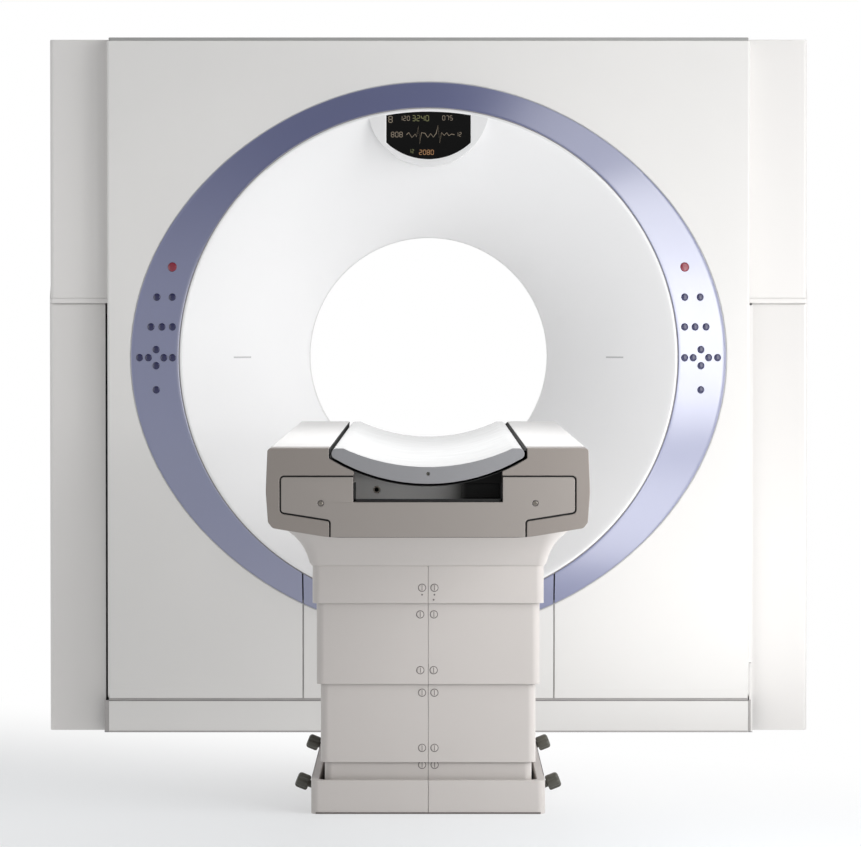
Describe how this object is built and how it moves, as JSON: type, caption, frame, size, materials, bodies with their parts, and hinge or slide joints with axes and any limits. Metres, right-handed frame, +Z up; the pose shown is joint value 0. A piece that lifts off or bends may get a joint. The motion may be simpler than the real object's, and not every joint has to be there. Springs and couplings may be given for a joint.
{
  "type": "ct scanner",
  "caption": "Hospital CT scanner: a tilting ring gantry with a blue control ring and white funnel, and a patient table on a telescoping pedestal.",
  "frame": {"origin": "on the floor, under the isocentre where the bore's axis crosses the gantry's tilt axis", "axes": "+Z up, +Y along the bore's axis from the foot of the table towards the gantry's rear, +X to the right of someone who stands at the foot of the table and looks at the gantry"},
  "size_m": [2.182, 3.54, 1.99],
  "materials": {
    "panel_white": "satin white paint",
    "ring_blue": "glossy slate blue",
    "funnel_white": "satin white",
    "display_black": "glossy black",
    "window_clear": "translucent film",
    "trim_grey": "satin dark grey",
    "steel_frame": "painted steel",
    "cast_frame": "machined casting",
    "tube_grey": "painted casting",
    "detector_grey": "satin",
    "table_white": "satin white",
    "cap_taupe": "satin taupe grey",
    "board_white": "smooth laminate",
    "pedestal_grey": "satin warm grey",
    "column_aluminium": "anodised",
    "rubber_black": "satin black",
    "key_blue": "glossy dark blue",
    "key_red": "glossy red"
  },
  "bodies": {
    "base": {"gantry_base_frame": "steel_frame", "stand_cover_left": "panel_white", "stand_cover_right": "panel_white", "kick_panels": "panel_white", "table_base_frame": "steel_frame", "pedestal_plinth": "pedestal_grey"},
    "tilt": {"tilt_frame": "cast_frame", "front_cover": "panel_white", "service_panel": "panel_white", "control_ring": "ring_blue", "front_funnel": "funnel_white", "display_screen": "display_black", "scan_window": "window_clear", "rear_cover": "panel_white", "top_cover": "trim_grey", "side_cover_left": "panel_white", "side_cover_right": "panel_white"},
    "rotor": {"rotor_drum": "steel_frame", "xray_tube": "tube_grey", "detector_arc": "detector_grey"},
    "lift": {"table_trough": "table_white", "table_end_cap": "cap_taupe", "end_panel": "cap_taupe", "pedestal_cover_top": "pedestal_grey", "lift_column": "column_aluminium"},
    "tabletop": {"table_board": "board_white"},
    "cover_upper": {"pedestal_cover_upper": "pedestal_grey"},
    "cover_middle": {"pedestal_cover_middle": "pedestal_grey"},
    "cover_lower": {"pedestal_cover_lower": "pedestal_grey"},
    "column_middle": {"lift_column_middle": "column_aluminium"},
    "key_left_stop": {"key_left_stop": "key_red"},
    "key_left_laser": {"key_left_laser": "key_blue"},
    "key_left_reset": {"key_left_reset": "key_blue"},
    "key_left_memory": {"key_left_memory": "key_blue"},
    "key_left_preset": {"key_left_preset": "key_blue"},
    "key_left_recall": {"key_left_recall": "key_blue"},
    "key_left_up": {"key_left_up": "key_blue"},
    "key_left_down": {"key_left_down": "key_blue"},
    "key_left_in_fast": {"key_left_in_fast": "key_blue"},
    "key_left_in": {"key_left_in": "key_blue"},
    "key_left_out": {"key_left_out": "key_blue"},
    "key_left_out_fast": {"key_left_out_fast": "key_blue"},
    "key_left_load": {"key_left_load": "key_blue"},
    "key_right_stop": {"key_right_stop": "key_red"},
    "key_right_laser": {"key_right_laser": "key_blue"},
    "key_right_reset": {"key_right_reset": "key_blue"},
    "key_right_memory": {"key_right_memory": "key_blue"},
    "key_right_preset": {"key_right_preset": "key_blue"},
    "key_right_recall": {"key_right_recall": "key_blue"},
    "key_right_up": {"key_right_up": "key_blue"},
    "key_right_down": {"key_right_down": "key_blue"},
    "key_right_in_fast": {"key_right_in_fast": "key_blue"},
    "key_right_in": {"key_right_in": "key_blue"},
    "key_right_out": {"key_right_out": "key_blue"},
    "key_right_out_fast": {"key_right_out_fast": "key_blue"},
    "key_right_load": {"key_right_load": "key_blue"},
    "foot_switch_front_left": {"foot_switch_front_left": "rubber_black"},
    "foot_switch_front_right": {"foot_switch_front_right": "rubber_black"},
    "foot_switch_rear_left": {"foot_switch_rear_left": "rubber_black"},
    "foot_switch_rear_right": {"foot_switch_rear_right": "rubber_black"}
  },
  "joints": [
    {"name": "gantry_tilt", "type": "hinge", "parent": "base", "child": "tilt", "pos_m": [0, 0, 1.075], "axis": [-1, 0, 0], "range_deg": [-30, 30]},
    {"name": "rotor_spin", "type": "hinge", "parent": "tilt", "child": "rotor", "pos_m": [0, 0.1, 1.075], "axis": [0, 1, 0], "continuous": true},
    {"name": "table_lift", "type": "slide", "parent": "base", "child": "lift", "axis": [0, 0, 1], "range_m": [-0.35, 0.12]},
    {"name": "tabletop_slide", "type": "slide", "parent": "lift", "child": "tabletop", "axis": [0, 1, 0], "range_m": [0, 1.6]},
    {"name": "cover_upper_slide", "type": "slide", "parent": "base", "child": "cover_upper", "axis": [0, 0, 1], "range_m": [-0.2205, 0.0756]},
    {"name": "cover_middle_slide", "type": "slide", "parent": "base", "child": "cover_middle", "axis": [0, 0, 1], "range_m": [-0.105, 0.036]},
    {"name": "cover_lower_slide", "type": "slide", "parent": "base", "child": "cover_lower", "axis": [0, 0, 1], "range_m": [-0.042, 0.0144]},
    {"name": "column_middle_slide", "type": "slide", "parent": "base", "child": "column_middle", "axis": [0, 0, 1], "range_m": [-0.175, 0.06]},
    {"name": "key_left_stop_press", "type": "slide", "parent": "tilt", "child": "key_left_stop", "axis": [0.3124, 0.9415, -0.1268], "range_m": [0, 0.002], "stiffness_N_per_m": 1500},
    {"name": "key_left_laser_press", "type": "slide", "parent": "tilt", "child": "key_left_laser", "axis": [0.3114, 0.9469, -0.0805], "range_m": [0, 0.002], "stiffness_N_per_m": 1500},
    {"name": "key_left_reset_press", "type": "slide", "parent": "tilt", "child": "key_left_reset", "axis": [0.3097, 0.9473, -0.082], "range_m": [0, 0.002], "stiffness_N_per_m": 1500},
    {"name": "key_left_memory_press", "type": "slide", "parent": "tilt", "child": "key_left_memory", "axis": [0.3091, 0.9502, -0.0393], "range_m": [0, 0.002], "stiffness_N_per_m": 1500},
    {"name": "key_left_preset_press", "type": "slide", "parent": "tilt", "child": "key_left_preset", "axis": [0.3088, 0.9503, -0.0402], "range_m": [0, 0.002], "stiffness_N_per_m": 1500},
    {"name": "key_left_recall_press", "type": "slide", "parent": "tilt", "child": "key_left_recall", "axis": [0.3085, 0.9504, -0.0408], "range_m": [0, 0.002], "stiffness_N_per_m": 1500},
    {"name": "key_left_up_press", "type": "slide", "parent": "tilt", "child": "key_left_up", "axis": [0.308, 0.9513, -0.0105], "range_m": [0, 0.002], "stiffness_N_per_m": 1500},
    {"name": "key_left_down_press", "type": "slide", "parent": "tilt", "child": "key_left_down", "axis": [0.308, 0.9513, 0.0105], "range_m": [0, 0.002], "stiffness_N_per_m": 1500},
    {"name": "key_left_in_fast_press", "type": "slide", "parent": "tilt", "child": "key_left_in_fast", "axis": [0.308, 0.9514, 0], "range_m": [0, 0.002], "stiffness_N_per_m": 1500},
    {"name": "key_left_in_press", "type": "slide", "parent": "tilt", "child": "key_left_in", "axis": [0.308, 0.9514, 0], "range_m": [0, 0.002], "stiffness_N_per_m": 1500},
    {"name": "key_left_out_press", "type": "slide", "parent": "tilt", "child": "key_left_out", "axis": [0.308, 0.9514, 0], "range_m": [0, 0.002], "stiffness_N_per_m": 1500},
    {"name": "key_left_out_fast_press", "type": "slide", "parent": "tilt", "child": "key_left_out_fast", "axis": [0.308, 0.9514, 0], "range_m": [0, 0.002], "stiffness_N_per_m": 1500},
    {"name": "key_left_load_press", "type": "slide", "parent": "tilt", "child": "key_left_load", "axis": [0.3086, 0.9502, 0.0425], "range_m": [0, 0.002], "stiffness_N_per_m": 1500},
    {"name": "key_right_stop_press", "type": "slide", "parent": "tilt", "child": "key_right_stop", "axis": [-0.3124, 0.9415, -0.1268], "range_m": [0, 0.002], "stiffness_N_per_m": 1500},
    {"name": "key_right_laser_press", "type": "slide", "parent": "tilt", "child": "key_right_laser", "axis": [-0.3114, 0.9469, -0.0805], "range_m": [0, 0.002], "stiffness_N_per_m": 1500},
    {"name": "key_right_reset_press", "type": "slide", "parent": "tilt", "child": "key_right_reset", "axis": [-0.3097, 0.9473, -0.082], "range_m": [0, 0.002], "stiffness_N_per_m": 1500},
    {"name": "key_right_memory_press", "type": "slide", "parent": "tilt", "child": "key_right_memory", "axis": [-0.3091, 0.9502, -0.0393], "range_m": [0, 0.002], "stiffness_N_per_m": 1500},
    {"name": "key_right_preset_press", "type": "slide", "parent": "tilt", "child": "key_right_preset", "axis": [-0.3088, 0.9503, -0.0402], "range_m": [0, 0.002], "stiffness_N_per_m": 1500},
    {"name": "key_right_recall_press", "type": "slide", "parent": "tilt", "child": "key_right_recall", "axis": [-0.3085, 0.9504, -0.0408], "range_m": [0, 0.002], "stiffness_N_per_m": 1500},
    {"name": "key_right_up_press", "type": "slide", "parent": "tilt", "child": "key_right_up", "axis": [-0.308, 0.9513, -0.0105], "range_m": [0, 0.002], "stiffness_N_per_m": 1500},
    {"name": "key_right_down_press", "type": "slide", "parent": "tilt", "child": "key_right_down", "axis": [-0.308, 0.9513, 0.0105], "range_m": [0, 0.002], "stiffness_N_per_m": 1500},
    {"name": "key_right_in_fast_press", "type": "slide", "parent": "tilt", "child": "key_right_in_fast", "axis": [-0.308, 0.9514, 0], "range_m": [0, 0.002], "stiffness_N_per_m": 1500},
    {"name": "key_right_in_press", "type": "slide", "parent": "tilt", "child": "key_right_in", "axis": [-0.308, 0.9514, 0], "range_m": [0, 0.002], "stiffness_N_per_m": 1500},
    {"name": "key_right_out_press", "type": "slide", "parent": "tilt", "child": "key_right_out", "axis": [-0.308, 0.9514, 0], "range_m": [0, 0.002], "stiffness_N_per_m": 1500},
    {"name": "key_right_out_fast_press", "type": "slide", "parent": "tilt", "child": "key_right_out_fast", "axis": [-0.308, 0.9514, 0], "range_m": [0, 0.002], "stiffness_N_per_m": 1500},
    {"name": "key_right_load_press", "type": "slide", "parent": "tilt", "child": "key_right_load", "axis": [-0.3086, 0.9502, 0.0425], "range_m": [0, 0.002], "stiffness_N_per_m": 1500},
    {"name": "foot_switch_front_left_press", "type": "slide", "parent": "base", "child": "foot_switch_front_left", "axis": [0.9272, 0, -0.3746], "range_m": [0, 0.005], "stiffness_N_per_m": 2500},
    {"name": "foot_switch_front_right_press", "type": "slide", "parent": "base", "child": "foot_switch_front_right", "axis": [-0.9272, 0, -0.3746], "range_m": [0, 0.005], "stiffness_N_per_m": 2500},
    {"name": "foot_switch_rear_left_press", "type": "slide", "parent": "base", "child": "foot_switch_rear_left", "axis": [0.9272, 0, -0.3746], "range_m": [0, 0.005], "stiffness_N_per_m": 2500},
    {"name": "foot_switch_rear_right_press", "type": "slide", "parent": "base", "child": "foot_switch_rear_right", "axis": [-0.9272, 0, -0.3746], "range_m": [0, 0.005], "stiffness_N_per_m": 2500}
  ],
  "couplings": [
    {"joint": "cover_upper_slide", "follows": "table_lift", "ratio": 0.63},
    {"joint": "cover_middle_slide", "follows": "table_lift", "ratio": 0.3},
    {"joint": "cover_lower_slide", "follows": "table_lift", "ratio": 0.12},
    {"joint": "column_middle_slide", "follows": "table_lift", "ratio": 0.5}
  ]
}
